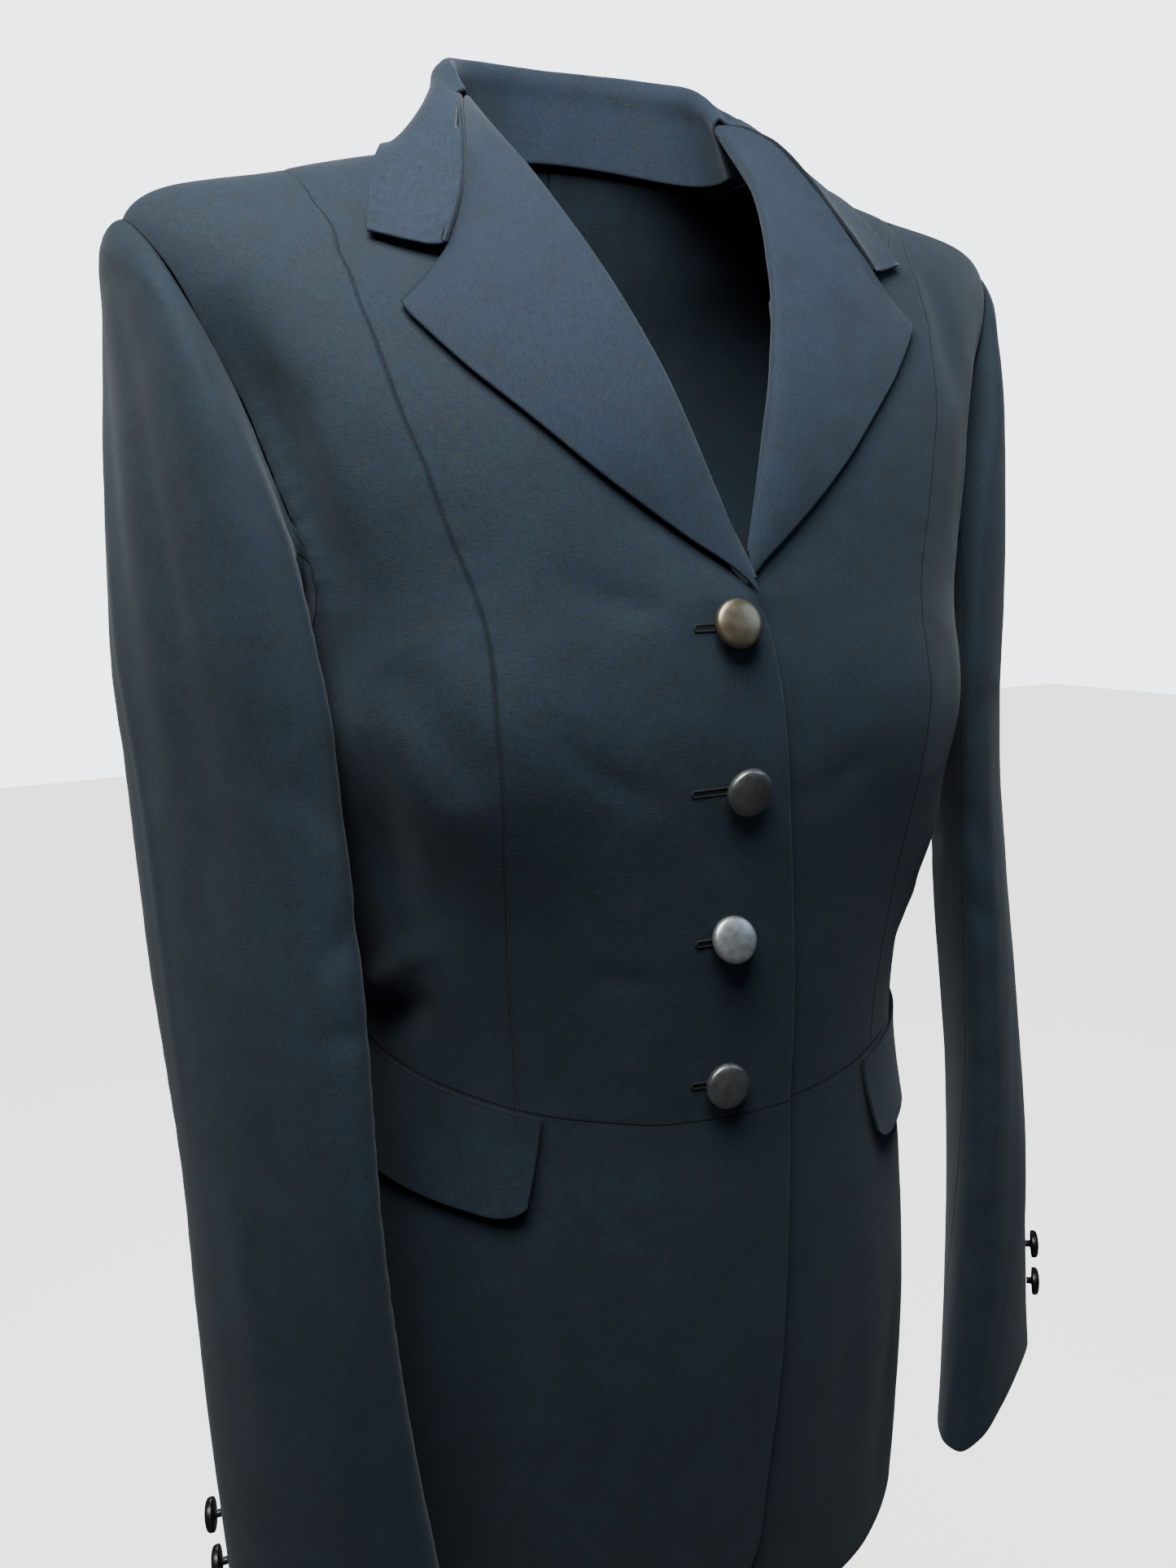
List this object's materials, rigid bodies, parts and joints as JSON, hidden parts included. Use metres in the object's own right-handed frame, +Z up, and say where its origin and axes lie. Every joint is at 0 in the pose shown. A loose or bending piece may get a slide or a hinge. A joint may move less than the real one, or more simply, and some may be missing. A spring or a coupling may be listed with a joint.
{
  "type": "hunt coat",
  "caption": "Woman's navy hunt coat in its worn shape: notched collar, wide lapels, princess front, waist seam with pocket flaps, two-piece sleeves.",
  "frame": {"origin": "between the shoulders, level with the neck point of the shoulder seams, where the wearer's neck and shoulders carry the coat", "axes": "+Z up, -Y the way the wearer faces, +X the wearer's left"},
  "size_m": [0.4689, 0.2844, 0.7802],
  "materials": {
    "navy wool": "matte woven wool with a soft nap",
    "button": "dark domed button with a soft sheen"
  },
  "bodies": {
    "root": {"front_right": "navy wool", "side_front_right": "navy wool", "side_back_right": "navy wool", "back_right": "navy wool", "front_skirt_right": "navy wool", "back_skirt_right": "navy wool", "lapel_right": "navy wool", "upper_sleeve_right": "navy wool", "under_sleeve_right": "navy wool", "pocket_flap_right": "navy wool", "front_left": "navy wool", "side_front_left": "navy wool", "side_back_left": "navy wool", "back_left": "navy wool", "front_skirt_left": "navy wool", "back_skirt_left": "navy wool", "lapel_left": "navy wool", "upper_sleeve_left": "navy wool", "under_sleeve_left": "navy wool", "pocket_flap_left": "navy wool", "collar": "navy wool", "front_button_1": "button", "front_button_2": "button", "front_button_3": "button", "front_button_4": "button", "cuff_button_right_1": "button", "cuff_button_right_2": "button", "cuff_button_left_1": "button", "cuff_button_left_2": "button"}
  },
  "joints": []
}
